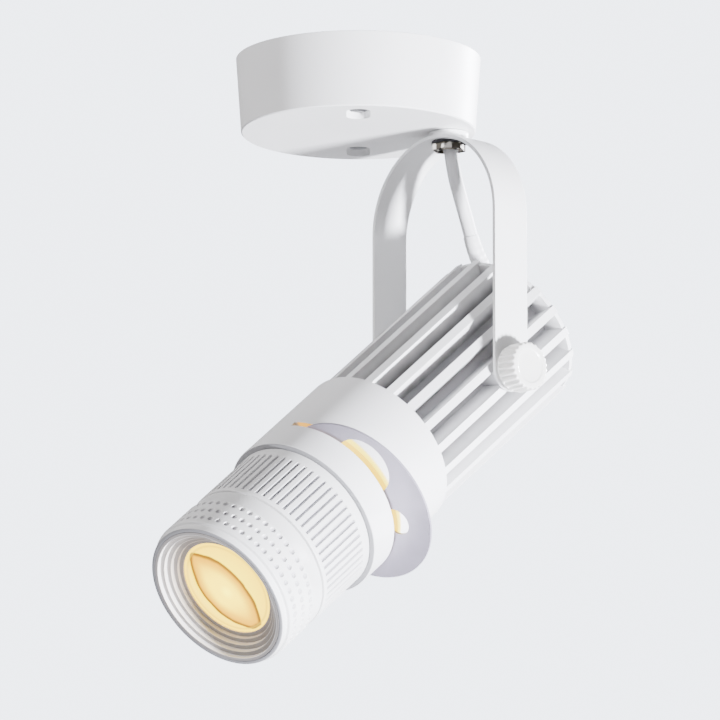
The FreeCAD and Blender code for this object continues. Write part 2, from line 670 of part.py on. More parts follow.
def make_pivot_hardware():
    studs = []
    spacers = []
    washers = []
    for axis, sign in (("x", ""), ("-x", "0 - ")):
        studs.append(rod("stud_r", "stud_end - stud_inner", (sign + "stud_inner", "0", "0"), axis=axis))
        spacer = rod("spacer_r", "strap_half - face_gap - pivot_flat", (sign + "pivot_flat", "0", "0"),
                     axis=axis)
        hole = rod("stud_r + thread_clear", "strap_half", (sign + "stud_inner", "0", "0"), axis=axis)
        spacers.append(cut(spacer, [hole]))
        face = sign + "strap_half " + ("- " if sign else "+ ") + "strap_t"
        near = face + (" - face_gap" if sign else " + face_gap")
        washer = rod("knob_washer_r", "knob_washer_t", (near, "0", "0"), axis=axis)
        bore = rod("stud_r + thread_clear", "2*knob_washer_t + strap_t", (face, "0", "0"), axis=axis)
        washers.append(cut(washer, [bore]))
    finish(group(studs), "pivot_studs", in_head())
    finish(group(spacers), "pivot_spacers", in_head())
    finish(group(washers), "knob_washers", in_head())


def make_knob(name, axis):
    body = lathe(name, [
        ("stud_r + stud_fit", "0"),
        ("knob_flange_r", "0"),
        ("knob_flange_r", "knob_flange_t"),
        ("knob_core_r", "knob_flange_t"),
        ("knob_core_r", "knob_t - knob_edge"),
        ("knob_core_r - knob_edge", "knob_t"),
        ("knob_dish_r", "knob_t"),
        ("knob_dish_r - knob_dish", "knob_t - knob_dish"),
        ("0", "knob_t - knob_dish"),
        ("0", "knob_t - 3*knob_dish"),
        ("stud_r + stud_fit", "knob_t - 3*knob_dish"),
    ])
    add_bars(body, "0.9*knob_core_r", "knob_r", "knob_rib_w", "knob_flange_t + 0.4*knob_edge",
             "knob_t - knob_flange_t - 1.6*knob_edge", "knob_ribs")
    base = "knob_base"
    if axis == "-x":
        base = "0 - knob_base"
    body.Placement = spot((base, "0", "0"), axis)
    finish(body, name, in_head())


# ---------------------------------------------------------------- heat sink

COVER_SCREW_ANGLES = (210, 330)


def make_heat_sink():
    body = lathe("sink", [
        ("0", "0 - sink_rear"), ("sink_core_r", "0 - sink_rear"),
        ("sink_core_r", "sink_front"), ("0", "sink_front"),
    ])
    add_bars(body, "0.9*sink_core_r", "fin_r", "fin_t", "0 - sink_rear", "sink_rear + sink_front",
             "fin_count")
    body.Placement = Placement(Vector(), Rotation(Vector(0, 0, 1), 180.0 / size("fin_count")))
    added = [body, rod("end_plate_r", "end_plate_t", ("0", "0", "0 - sink_rear"))]
    removed = []
    for axis, sign in (("x", ""), ("-x", "0 - ")):
        added.append(rod("pivot_boss_r", "pivot_flat - 0.8*sink_core_r", (sign + "0.8*sink_core_r", "0", "0"),
                         axis=axis))
        removed.append(rod("1.4*pivot_boss_r", "fin_r", (sign + "pivot_flat", "0", "0"), axis=axis))
        removed.append(rod("stud_r + thread_clear", "fin_r", (sign + "stud_inner", "0", "0"), axis=axis))
    for turn in range(3):
        removed.append(rod("small_screw_r + thread_clear", "collar_screw_in + small_screw_r",
                           ("collar_screw_at", "0", "sink_front - collar_screw_in"), around=120 * turn))
    for angle in COVER_SCREW_ANGLES:
        removed.append(rod("small_screw_r + thread_clear", "cover_screw_in",
                           ("cover_screw_at", "0", "0 - sink_rear"), around=angle))
    for turn in (0, 180):
        removed.append(rod("led_screw_r + thread_clear", "led_screw_in + led_screw_r",
                           ("led_screw_at", "0", "sink_front - led_screw_in"), around=turn))
    finish(cut(fuse(added), removed), "heat_sink", in_head())


def make_rear_cover():
    """Cup over the wiring, with two screw posts below and a side hole for the gland above."""
    back = "0 - sink_rear"
    cup = rod("cap_cover_r", "cap_cover_t", ("0", "0", back), axis="-z")
    hollow = rod("cap_cover_r - cap_cover_wall", "cap_cover_t - cap_cover_wall", ("0", "0", back),
                 axis="-z")
    added = [cut(cup, [hollow])]
    removed = [rod("gland_r + thread_clear", "2*cap_cover_r", ("0", "cover_screw_at", back + " - gland_back"),
                   axis="y")]
    for angle in COVER_SCREW_ANGLES:
        added.append(rod("small_screw_r + cap_cover_wall", "cap_cover_t", ("cover_screw_at", "0", back),
                         axis="-z", around=angle))
        removed.append(rod("small_screw_r + hole_clear", "2*cap_cover_t", ("cover_screw_at", "0", back),
                           axis="-z", around=angle))
    finish(cut(fuse(added), removed), "rear_cover", in_head())


def make_cover_screws():
    screws = []
    seat = "0 - sink_rear - cap_cover_t"
    for angle in COVER_SCREW_ANGLES:
        head = rod("small_head_r", "small_head_t", ("cover_screw_at", "0", seat), axis="-z", around=angle)
        shank = rod("small_screw_r", "cap_cover_t + cover_screw_in - small_screw_r",
                    ("cover_screw_at", "0", seat), around=angle)
        screws.append(fuse([head, shank]))
    finish(group(screws), "cover_screws", in_head())


def make_cord_gland():
    """Strain relief in the side of the rear cover, the cord leaves along its axis."""
    place = spot(("0", "cap_cover_r", "0 - sink_rear - gland_back"), "y")
    tail = rod("gland_r", "gland_tail + cap_cover_wall", ("0", "0", "0 - gland_tail - cap_cover_wall"))
    flange = hexagon("gland_flats", "gland_flange")
    nose = doc.addObject("Part::Cone", "Nose")
    nose.setExpression("Radius1", formula("gland_r"))
    nose.setExpression("Radius2", formula("gland_nose_r"))
    nose.setExpression("Height", formula("gland_len - gland_flange"))
    nose.Placement = spot(("0", "0", "gland_flange"))
    bore = rod("gland_bore", "3*gland_len", ("0", "0", "0 - gland_len"))
    gland = cut(fuse([tail, flange, nose]), [bore])
    gland.Placement = place
    finish(gland, "cord_gland", in_head())


def cord_points():
    """The cord's corners, in the vertical plane through the pan axis."""
    phi = math.radians(size("tilt_down"))
    up = Vector(0, -math.sin(phi), math.cos(phi))
    back = Vector(0, math.cos(phi), math.sin(phi))
    mouth = Vector(up).multiply(size("cap_cover_r + gland_len")).add(back.multiply(size("sink_rear + gland_back")))
    drop = saddle_low() - size("nut_t + tube_under")
    points = [
        Vector(0, 0, swivel_top()),
        Vector(0, 0, drop - size("cord_under")),
        Vector(0, size("cord_lean"), drop - size("cord_fall")),
        mouth.add(up.multiply(size("cord_rise"))),
        mouth,
    ]
    return points


def make_power_cord():
    cord = doc.addObject("Part::Feature", "Cord")
    cord.Shape = soft_tube(cord_points(), size("cord_r"))
    finish(cord, "power_cord", in_yoke())


# ---------------------------------------------------------------- lamp and condenser

def make_lamp():
    base = "sink_front + led_t"
    board_holes = []
    ring_holes = [rod("holder_bore", "3*holder_t", ("0", "0", base + " - holder_t"))]
    screws = []
    for turn in (0, 180):
        board_holes.append(rod("led_screw_r + hole_clear", "3*led_t",
                               ("led_screw_at", "0", "sink_front - led_t"), around=turn))
        ring_holes.append(rod("led_screw_r + hole_clear", "3*holder_t",
                              ("led_screw_at", "0", base + " - holder_t"), around=turn))
        head = rod("led_head_r", "led_head_t", ("led_screw_at", "0", base + " + holder_t"), around=turn)
        shank = rod("led_screw_r", "holder_t + led_t + led_screw_in - led_screw_r",
                    ("led_screw_at", "0", "sink_front - led_screw_in + led_screw_r"), around=turn)
        screws.append(fuse([head, shank]))
    board = rod("led_r", "led_t", ("0", "0", "sink_front"))
    ring = rod("holder_r", "holder_t", ("0", "0", base))
    finish(cut(board, board_holes), "led_board", in_head())
    finish(rod("emitter_r", "emitter_t", ("0", "0", base)), "led_emitter", in_head())
    finish(cut(ring, ring_holes), "led_holder", in_head())
    finish(group(screws), "led_screws", in_head())


def make_condenser():
    base = "sink_front + collar_back_t"
    bore = "optic_r - optic_wall"
    finish(lathe("optic_tube", [
        (bore, base),
        ("optic_flange_r", base),
        ("optic_flange_r", base + " + optic_flange_t"),
        ("optic_r", base + " + optic_flange_t"),
        ("optic_r", "optic_front"),
        (bore, "optic_front"),
        (bore, "optic_seat + optic_seat_t"),
        (bore + " - optic_step", "optic_seat + optic_seat_t"),
        (bore + " - optic_step", "optic_seat"),
        (bore, "optic_seat"),
    ]), "optic_tube", in_head())
    seat = "optic_seat + optic_seat_t"
    body = lathe("condenser_lens", [
        ("0", seat),
        (bore + " - lens_gap", seat),
        (bore + " - lens_gap", seat + " + condenser_edge"),
        (bore + " - optic_step", seat + " + condenser_edge"),
        ("0.62*optic_r", seat + " + condenser_edge + 0.45*condenser_dome"),
        ("0.4*optic_r", seat + " + condenser_edge + 0.8*condenser_dome"),
        ("0.18*optic_r", seat + " + condenser_edge + 0.97*condenser_dome"),
        ("0", seat + " + condenser_edge + condenser_dome"),
    ])
    finish(body, "condenser_lens", in_head())
    high = seat + " + condenser_edge"
    ring = rod(bore + " - lens_gap", "ring_t", ("0", "0", high))
    hole = rod(bore + " - 0.8*optic_step", "3*ring_t", ("0", "0", high + " - ring_t"))
    finish(cut(ring, [hole]), "condenser_ring", in_head())


# ---------------------------------------------------------------- collar and wheel

def wheel_heading():
    return math.degrees(math.atan2(-size("wheel_y"), size("wheel_x")))


def make_collar():
    base = "sink_front"
    body = lathe("collar", [
        ("collar_hole_r", base),
        ("collar_r - collar_edge", base),
        ("collar_r", base + " + collar_edge"),
        ("collar_r", "collar_front - collar_edge"),
        ("collar_r - collar_edge", "collar_front"),
        ("collar_mouth", "collar_front"),
        ("collar_mouth", "shoulder_at"),
        ("collar_bore", "shoulder_at"),
        ("collar_bore", base + " + collar_back_t"),
        ("collar_hole_r", base + " + collar_back_t"),
    ])
    added = [body]
    removed = []
    for turn in range(3):
        added.append(rod("gate_post_r", "gate_back - sink_front - 0.5*collar_back_t",
                         ("gate_post_at", "0", base + " + 0.5*collar_back_t"), around=120 * turn + 60))
        removed.append(rod("small_screw_r + thread_clear", "small_screw_r + collar_screw_in",
                           ("gate_post_at", "0", "gate_back - collar_screw_in"), around=120 * turn + 60))
        removed.append(rod("small_screw_r + hole_clear", "3*collar_back_t",
                           ("collar_screw_at", "0", base + " - collar_back_t"), around=120 * turn))
    slot = block("4*collar_r", "4*collar_r", "slot_w", ("2*collar_r - slot_back", "0", "slot_mid - 0.5*slot_w"),
                 around=wheel_heading())
    removed.append(slot)
    finish(cut(fuse(added), removed), "collar_housing", in_head())


def small_screws(name, radius_at, seat, grip, first_turn):
    """Three identical screws with heads forward of the seat; grip is what they clamp."""
    screws = []
    for turn in range(3):
        angle = 120 * turn + first_turn
        head = rod("small_head_r", "small_head_t", (radius_at, "0", seat + " + " + grip), around=angle)
        shank = rod("small_screw_r", grip + " + collar_screw_in", (radius_at, "0", seat + " - collar_screw_in"),
                    around=angle)
        screws.append(fuse([head, shank]))
    finish(group(screws), name, in_head())


def make_collar_screws():
    small_screws("collar_screws", "collar_screw_at", "sink_front", "collar_back_t", 0)
    small_screws("gate_screws", "gate_post_at", "gate_back", "gate_t", 60)


def make_gate_plate():
    disc = rod("collar_bore - gate_gap", "gate_t", ("0", "0", "gate_back"))
    removed = [rod("gate_hole_r", "3*gate_t", ("0", "0", "gate_back - gate_t")),
               rod("axle_r + thread_clear", "3*gate_t", ("wheel_x", "0 - wheel_y", "gate_back - gate_t"))]
    for turn in range(3):
        removed.append(rod("small_screw_r + hole_clear", "3*gate_t",
                           ("gate_post_at", "0", "gate_back - gate_t"), around=120 * turn + 60))
    finish(cut(disc, removed), "gate_plate", in_head())


def make_wheel_axle():
    low = "gate_back"
    high = "slot_mid + 0.5*wheel_t + face_gap"
    at = ("wheel_x", "0 - wheel_y")
    shaft = rod("axle_r", "slot_mid + 0.5*wheel_t + face_gap - gate_back", at + (low,))
    head = rod("axle_head_r", "axle_head_t", at + (high,))
    drive = block("3*axle_head_r", "0.25*axle_head_r", "axle_head_t", at + (high + " + 0.6*axle_head_t",))
    collar = rod("axle_collar_r", "slot_mid - 0.5*wheel_t - face_gap - gate_back - gate_t",
                 at + ("gate_back + gate_t",))
    finish(cut(fuse([shaft, head, collar]), [drive]), "wheel_axle", in_head())


def make_wheel():
    disc = rod("wheel_r", "wheel_t")
    holes = [rod("axle_r + wheel_fit", "3*wheel_t", ("0", "0", "0 - wheel_t"))]
    for letter in "abcde":
        hole = rod("hole_%s_r" % letter, "3*wheel_t", ("hole_pitch", "0", "0 - wheel_t"),
                   around=size("hole_%s_at" % letter))
        holes.append(hole)
    wheel = cut(disc, holes)
    wheel.Placement = spot(("wheel_x", "0 - wheel_y", "slot_mid - 0.5*wheel_t"))
    finish(wheel, "aperture_wheel", in_head())


# ---------------------------------------------------------------- guide tube, zoom ring, lens tube

def make_guide_tube():
    body = lathe("guide", [
        ("guide_bore", "shoulder_at"),
        ("collar_mouth - thread_clear", "shoulder_at"),
        ("collar_mouth - thread_clear", "collar_front"),
        ("guide_r", "collar_front"),
        ("guide_r", "clip_at"),
        ("guide_r - clip_depth", "clip_at"),
        ("guide_r - clip_depth", "clip_at + clip_t"),
        ("guide_r", "clip_at + clip_t"),
        ("guide_r", "guide_front"),
        ("guide_bore", "guide_front"),
    ])
    slots = []
    for turn in (90, 270):
        width = "2*pin_r + 2*pin_clear"
        slots.append(block("guide_r", width, "zoom_travel",
                           ("guide_r", "0", "pin_at"), around=turn))
        for end in ("pin_at", "pin_at + zoom_travel"):
            slots.append(rod("pin_r + pin_clear", "guide_r", ("0.5*guide_r", "0", end), axis="x", around=turn))
    finish(cut(body, slots), "guide_tube", in_head())


def make_zoom_clip():
    ring = rod("clip_out_r", "clip_t", ("0", "0", "clip_at"))
    hole = rod("guide_r - clip_depth + thread_clear", "3*clip_t", ("0", "0", "clip_at - clip_t"))
    gap = block("guide_r", "0.3*guide_r", "3*clip_t", ("guide_r", "0", "clip_at - clip_t"))
    finish(cut(ring, [hole, gap]), "zoom_clip", in_head())


def helical_groove(around):
    """Cutter for the groove that drives a guide pin along as the ring turns."""
    turn = size("zoom_turn")
    half = size("pin_r + pin_clear")
    over = 1.2 * math.degrees(half / size("guide_r"))
    rise = size("zoom_travel") / turn
    helix = Part.makeHelix(360.0 * rise, (turn + 2 * over) * rise, size("guide_r"))
    inner = size("guide_r - 0.3")
    outer = size("pin_tip_r + groove_clear")
    corners = [Vector(inner, 0, -half), Vector(outer, 0, -half), Vector(outer, 0, half),
               Vector(inner, 0, half), Vector(inner, 0, -half)]
    groove = Part.Wire(helix).makePipeShell([Part.makePolygon(corners)], True, True)
    groove.translate(Vector(0, 0, size("pin_at") - over * rise))
    groove.rotate(Vector(), Vector(0, 0, 1), around - over)
    tool = doc.addObject("Part::Feature", "Groove")
    tool.Shape = groove
    return tool


def make_zoom_ring():
    """Focusing ring: 62 lands stand in a turned recess, flush with the bands at both ends."""
    body = lathe("zoom", [
        ("guide_r + zoom_fit", "zoom_rear"),
        ("zoom_body_r - zoom_edge", "zoom_rear"),
        ("zoom_body_r", "zoom_rear + zoom_edge"),
        ("zoom_body_r", "groove_rear"),
        ("groove_r", "groove_rear"),
        ("groove_r", "groove_front"),
        ("zoom_body_r", "groove_front"),
        ("zoom_body_r", "zoom_front - zoom_edge"),
        ("zoom_body_r - zoom_edge", "zoom_front"),
        ("clip_out_r + clip_gap", "zoom_front"),
        ("clip_out_r + clip_gap", "clip_at - clip_gap"),
        ("guide_r + zoom_fit", "clip_at - clip_gap"),
    ])
    add_bars(body, "groove_r - 0.5*groove_deep", "zoom_body_r", "land_w", "groove_rear",
             "groove_front - groove_rear", "land_count")
    finish(cut(body, [helical_groove(90), helical_groove(270)]), "zoom_ring", in_head())


def make_lens_tube():
    """Sliding tube with the grip band, the lens seat and the thin lip at its front."""
    body = lathe("tube", [
        ("tube_bore", "tube_rear"),
        ("tube_r", "tube_rear"),
        ("tube_r", "head_rear"),
        ("head_r - head_edge", "head_rear"),
        ("head_r", "head_rear + head_edge"),
        ("head_r", "grip_rear"),
        ("grip_r", "grip_rear + grip_edge"),
        ("grip_r", "lip_rear - grip_edge"),
        ("grip_r - grip_edge", "lip_rear"),
        ("lip_r", "lip_rear + grip_edge"),
        ("lip_r", "head_front - lip_edge"),
        ("lip_r - lip_edge", "head_front"),
        ("baffle_r + thread_clear", "head_front"),
        ("baffle_r + thread_clear", "front_lens_front"),
        ("front_lens_r + lens_gap", "front_lens_front"),
        ("front_lens_r + lens_gap", "front_lens_back"),
        ("front_lens_r - seat_in", "front_lens_back"),
        ("front_lens_r - seat_in", "front_lens_back - seat_t"),
        ("tube_bore", "front_lens_back - seat_t"),
    ])
    holes = []
    for turn in (90, 270):
        holes.append(rod("pin_r + thread_clear", "guide_r", ("0.5*guide_r", "0", "pin_at"), axis="x",
                         around=turn))
    finish(cut(body, holes), "lens_tube", in_head())


def make_guide_pins():
    pins = []
    for turn in (90, 270):
        pins.append(rod("pin_r", "pin_tip_r - tube_r + 0.8*tube_wall",
                        ("tube_r - 0.8*tube_wall", "0", "pin_at"), axis="x", around=turn))
    finish(group(pins), "guide_pins", in_head())


def make_rear_lens():
    """Plano-convex lens and the ring behind it that holds it in the tube."""
    edge = "tube_bore - lens_gap"
    finish(lathe("rear_lens", [
        ("0", "rear_lens_at - rear_dome"),
        ("0.3*rear_lens_r", "rear_lens_at - 0.9*rear_dome"),
        ("0.6*rear_lens_r", "rear_lens_at - 0.55*rear_dome"),
        ("0.85*rear_lens_r", "rear_lens_at"),
        (edge, "rear_lens_at"),
        (edge, "rear_lens_at + rear_lens_t"),
        ("0", "rear_lens_at + rear_lens_t"),
    ]), "rear_lens", in_head())
    ring = rod(edge, "ring_t", ("0", "0", "rear_ring_at"))
    hole = rod("0.87*rear_lens_r", "3*ring_t", ("0", "0", "rear_ring_at - ring_t"))
    finish(cut(ring, [hole]), "rear_lens_ring", in_head())


def make_front_lens():
    points = [
        ("0", "front_lens_back"),
        ("front_lens_r", "front_lens_back"),
        ("front_lens_r", "front_lens_front"),
        ("baffle_hole - 0.4", "front_lens_front"),
        ("0.8*baffle_hole", "front_lens_front + 0.36*front_dome"),
        ("0.6*baffle_hole", "front_lens_front + 0.64*front_dome"),
        ("0.3*baffle_hole", "front_lens_front + 0.91*front_dome"),
        ("0", "front_lens_front + front_dome"),
    ]
    finish(lathe("front_lens", points), "front_lens", in_head())


def make_baffle():
    """Stepped light trap between the lens and the rim; it also holds the lens."""
    steps = int(size("baffle_steps"))
    points = [("baffle_hole", "front_lens_front"), ("baffle_r", "front_lens_front"),
              ("baffle_r", "head_front"), ("baffle_lip", "head_front")]
    for step in range(steps):
        r_keep = (steps - step) / steps
        r_next = (steps - step - 1) / steps
        r_here = "%s*baffle_lip + %s*baffle_hole" % (r_keep, 1 - r_keep)
        r_in = "%s*baffle_lip + %s*baffle_hole" % (r_next, 1 - r_next)
        z_low = "%s*head_front + %s*front_lens_front" % (r_next, 1 - r_next)
        if step == steps - 1:
            z_low = "front_lens_front + baffle_foot"
        points.append((r_here, z_low))
        points.append((r_in, z_low))
    points.pop()
    points.append(("baffle_hole", "front_lens_front + baffle_foot"))
    finish(lathe("baffle", points), "baffle", in_head())


for make in (
    make_canopy_cup, make_ceiling_plate, make_canopy_screws, make_cable_grommet, make_driver,
    make_terminal_block, make_inner_leads, make_swivel_sleeve, make_swivel_tube,
    make_friction_washer, make_swivel_boss, make_saddle_washer, make_swivel_nut, make_yoke_strap,
    make_pivot_hardware, make_heat_sink, make_rear_cover, make_cover_screws, make_cord_gland,
    make_power_cord, make_lamp, make_condenser, make_collar, make_collar_screws, make_gate_plate,
    make_wheel_axle, make_wheel, make_guide_tube, make_zoom_clip, make_zoom_ring, make_lens_tube,
    make_guide_pins, make_rear_lens, make_front_lens, make_baffle,
):
    make()
make_knob("knob_right", "x")
make_knob("knob_left", "-x")
doc.recompute()

for item in doc.Objects:
    for state in item.State:
        if state in ("Invalid", "Error"):
            raise RuntimeError("%s (%s) failed: %s" % (item.Name, item.Label, item.State))

for name, piece in finished.items():
    shape = piece.Shape
    if shape.isNull() or not shape.isValid():
        raise RuntimeError("bad shape: " + name)
    if piece.Label != name:
        raise RuntimeError("label %s is not %s" % (piece.Label, name))
    shape.exportStep("parts/%s.step" % name)
    print("%-16s solids %d volume %9.1f" % (name, len(shape.Solids), shape.Volume))
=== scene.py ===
import math

import bpy
import numpy as np
from mathutils import Matrix, Vector


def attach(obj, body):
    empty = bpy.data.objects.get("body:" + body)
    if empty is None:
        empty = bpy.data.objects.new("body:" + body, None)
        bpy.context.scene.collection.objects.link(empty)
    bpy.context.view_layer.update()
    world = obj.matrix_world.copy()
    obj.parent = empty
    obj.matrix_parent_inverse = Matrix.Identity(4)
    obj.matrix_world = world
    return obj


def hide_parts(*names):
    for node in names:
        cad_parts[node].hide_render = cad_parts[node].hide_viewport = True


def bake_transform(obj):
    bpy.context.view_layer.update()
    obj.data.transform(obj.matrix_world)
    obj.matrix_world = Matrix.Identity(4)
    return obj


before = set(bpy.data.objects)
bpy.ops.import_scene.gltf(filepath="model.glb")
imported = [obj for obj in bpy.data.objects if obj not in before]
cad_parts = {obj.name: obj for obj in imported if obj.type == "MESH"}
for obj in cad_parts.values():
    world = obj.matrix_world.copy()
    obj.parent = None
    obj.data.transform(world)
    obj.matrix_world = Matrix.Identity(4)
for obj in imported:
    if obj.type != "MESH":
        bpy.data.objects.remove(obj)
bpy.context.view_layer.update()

# The lamp's own places, in metres: the pan axis, the tilt pivot and how far the head looks down.
PAN_X, PAN_Y = 0.026276, 0.028276
PIVOT_Z = -0.1407
TILT_DOWN = math.radians(39.3)
CANOPY_LOW = -0.032
CANOPY_TURN = math.radians(47.1)
PIVOT = Vector((PAN_X, PAN_Y, PIVOT_Z))
HEAD = Matrix.Translation(PIVOT) @ Matrix.Rotation(math.pi / 2 + TILT_DOWN, 4, "X")


# ------------------------------------------------------------------ camera

CAMERA_TURN = math.radians(47.08)
CAMERA_RISE = math.radians(11.75)
CAMERA_LENS = 400.0
# From the middle of the canopy's lower edge to the camera, in metres.
CAMERA_RIGHT, CAMERA_BACK, CAMERA_DOWN = 0.000738, 3.31678, 0.78870


def aim_camera():
    """Long lens below the lamp, looking up as the photograph does."""
    turn, rise = CAMERA_TURN, CAMERA_RISE
    right = Vector((math.cos(turn), math.sin(turn), 0.0))
    away = Vector((-math.sin(turn), math.cos(turn), 0.0))
    up = Vector((0.0, 0.0, 1.0))
    ahead = away * math.cos(rise) + up * math.sin(rise)
    top = up * math.cos(rise) - away * math.sin(rise)
    place = (right * CAMERA_RIGHT - away * CAMERA_BACK - up * CAMERA_DOWN
             + Vector((0.0, 0.0, CANOPY_LOW)))
    data = bpy.data.cameras.new("camera")
    data.lens = CAMERA_LENS
    data.sensor_width = 36.0
    data.clip_start = 0.1
    data.clip_end = 50.0
    camera = bpy.data.objects.new("camera", data)
    bpy.context.collection.objects.link(camera)
    axes = Matrix((right, top, -ahead)).transposed().to_4x4()
    camera.matrix_world = Matrix.Translation(place) @ axes
    bpy.context.scene.camera = camera
    return right, away, up


RIGHT, AWAY, UP = aim_camera()


# ------------------------------------------------------------------ surfaces

def placed(points, matrix):
    """Points of a piece's own frame, in metres, carried into the lamp's frame."""
    table = np.array(matrix)
    return points @ table[:3, :3].T + table[:3, 3]


CREASE = math.radians(35.0)


def skin(name, grid, ring=False):
    """Mesh over a rows by columns grid of points.

    Columns always join round.  Rows join round too when the piece is a ring, and
    otherwise each end is shut by a fan to its mean point.  The sum of the signed
    tetrahedra under the faces says whether they point outwards."""
    rows, columns = grid.shape[:2]
    points = grid.reshape(-1, 3)
    index = np.arange(rows * columns).reshape(rows, columns)
    ahead = np.roll(index, -1, axis=1)
    below = np.roll(index, -1, axis=0)
    diagonal = np.roll(ahead, -1, axis=0)
    last = rows if ring else rows - 1
    quads = np.stack([index, ahead, diagonal, below], axis=-1)[:last].reshape(-1, 4)
    faces = quads.tolist()
    if not ring:
        for row, step in ((0, 1), (rows - 1, -1)):
            middle = len(points)
            points = np.vstack([points, grid[row].mean(axis=0)])
            fan = np.stack([index[row], ahead[row], np.full(columns, middle)], axis=-1)
            faces += fan[:, ::step].tolist()
    a, b, c = points[quads[:, 0]], points[quads[:, 1]], points[quads[:, 2]]
    d = points[quads[:, 3]]
    volume = (a * (np.cross(b, c) + np.cross(c, d))).sum()
    if volume < 0:
        faces = [face[::-1] for face in faces]
    mesh = bpy.data.meshes.new(name)
    mesh.from_pydata(points.tolist(), [], faces)
    mesh.shade_smooth()
    mesh.set_sharp_from_angle(angle=CREASE)
    piece = bpy.data.objects.new(name, mesh)
    bpy.context.collection.objects.link(piece)
    return piece


def turned(radius, height, angle):
    """Points (radius cos a, radius sin a, height), all three being rows by columns arrays."""
    return np.stack([radius * np.cos(angle), radius * np.sin(angle), height + 0 * angle], axis=-1)


def line_through(name, points):
    """Points of the smooth spline that the given points steer, from one end to the other."""
    curve = bpy.data.curves.new(name, "CURVE")
    curve.dimensions = "3D"
    curve.resolution_u = 24
    spline = curve.splines.new("NURBS")
    spline.points.add(len(points) - 1)
    for knot, place in zip(spline.points, points):
        knot.co = (*place, 1.0)
    spline.order_u = 3
    spline.use_endpoint_u = True
    holder = bpy.data.objects.new(name, curve)
    bpy.context.collection.objects.link(holder)
    mesh = bpy.data.meshes.new_from_object(holder)
    line = np.empty(3 * len(mesh.vertices))
    mesh.vertices.foreach_get("co", line)
    bpy.data.objects.remove(holder)
    bpy.data.meshes.remove(mesh)
    return line.reshape(-1, 3)


def tube_along(name, line, radius, side, sides=28):
    """Round tube: a circle of the given radius in the plane across each point of the line.

    side is a direction that is never along the line; the circle's second axis is
    the cross product of the line's direction and the first."""
    ahead = np.gradient(line, axis=0)
    ahead /= np.linalg.norm(ahead, axis=1)[:, None]
    first = np.asarray(side, float) - ahead * (ahead @ np.asarray(side, float))[:, None]
    first /= np.linalg.norm(first, axis=1)[:, None]
    second = np.cross(ahead, first)
    angle = np.linspace(0, 2 * np.pi, sides, endpoint=False)
    spread = np.broadcast_to(np.asarray(radius, float), (len(line),))[:, None, None]
    grid = line[:, None, :] + spread * (first[:, None, :] * np.cos(angle)[None, :, None]
                                        + second[:, None, :] * np.sin(angle)[None, :, None])
    return skin(name, grid)


# ------------------------------------------------------------------ finishes

class Signal:
    """One output in a finish; sums and products of it become maths nodes."""

    def __init__(self, finish, socket):
        self.finish = finish
        self.socket = socket

    def maths(self, operation, *others):
        return self.finish.node("ShaderNodeMath", {"operation": operation},
                                dict(enumerate((self,) + others)))

    def __add__(self, other):
        return self.maths("ADD", other)

    def __radd__(self, other):
        return self.maths("ADD", other)

    def __mul__(self, other):
        return self.maths("MULTIPLY", other)

    def __sub__(self, other):
        return self.maths("SUBTRACT", other)

    def __rsub__(self, other):
        return self.finish.node("ShaderNodeMath", {"operation": "SUBTRACT"}, {0: other, 1: self})

    def __truediv__(self, other):
        return self.maths("DIVIDE", other)

    def __pow__(self, other):
        return self.maths("POWER", other)

    def between(self, low, high):
        """0 below low, 1 above high, smooth in the middle."""
        return self.finish.node("ShaderNodeMapRange", {"interpolation_type": "SMOOTHSTEP"},
                                {"Value": self, "From Min": low, "From Max": high})


class Finish:
    """A material under construction: its tree, its shader and its own coordinates."""

    def __init__(self, name):
        self.material = bpy.data.materials.new(name)
        self.material.use_nodes = True
        self.tree = self.material.node_tree
        self.shader = self.tree.nodes["Principled BSDF"]
        coordinates = self.tree.nodes.new("ShaderNodeTexCoord")
        self.place = Signal(self, coordinates.outputs["Object"])

    def node(self, kind, settings, inputs, output=0):
        """Any node: its settings first, then the values or signals of its sockets."""
        made = self.tree.nodes.new(kind)
        for key, value in settings.items():
            setattr(made, key, value)
        for key, value in inputs.items():
            self.feed(made.inputs[key], value)
        return Signal(self, made.outputs[output])

    def feed(self, socket, value):
        if isinstance(value, Signal):
            self.tree.links.new(value.socket, socket)
        elif hasattr(socket.default_value, "__len__") and len(socket.default_value) == 4:
            socket.default_value = (*value[:3], 1.0)
        else:
            socket.default_value = value

    def shade(self, **values):
        """Sets or links the shader's sockets: base_color becomes Base Color."""
        for key, value in values.items():
            words = key.replace("_", " ").title().replace("Ior", "IOR")
            self.feed(self.shader.inputs[words], value)
        return self

    def noise(self, scale, detail=2.0, roughness=0.5):
        return self.node("ShaderNodeTexNoise", {},
                         {"Vector": self.place, "Scale": scale, "Detail": detail,
                          "Roughness": roughness})

    def mix(self, factor, first, second):
        return self.node("ShaderNodeMix", {"data_type": "RGBA"},
                         {0: factor, 6: first, 7: second}, 2)

    def bump(self, height, strength, distance, normal=None):
        inputs = {"Height": height, "Strength": strength, "Distance": distance}
        if normal is not None:
            inputs["Normal"] = normal
        return self.node("ShaderNodeBump", {}, inputs)

    def in_head(self):
        """Signals x, y and s: across the head, and forward from the pivot along its axis."""
        back = HEAD.inverted()
        local = self.node("ShaderNodeMapping", {"vector_type": "POINT"},
                          {"Vector": self.place, "Location": back.translation,
                           "Rotation": back.to_euler()})
        node = self.tree.nodes.new("ShaderNodeSeparateXYZ")
        self.feed(node.inputs[0], local)
        return [Signal(self, socket) for socket in node.outputs]

    def soft_edges(self, radius):
        """Normal of an edge rounded by the given radius."""
        return self.node("ShaderNodeBevel", {"samples": 4}, {"Radius": radius})


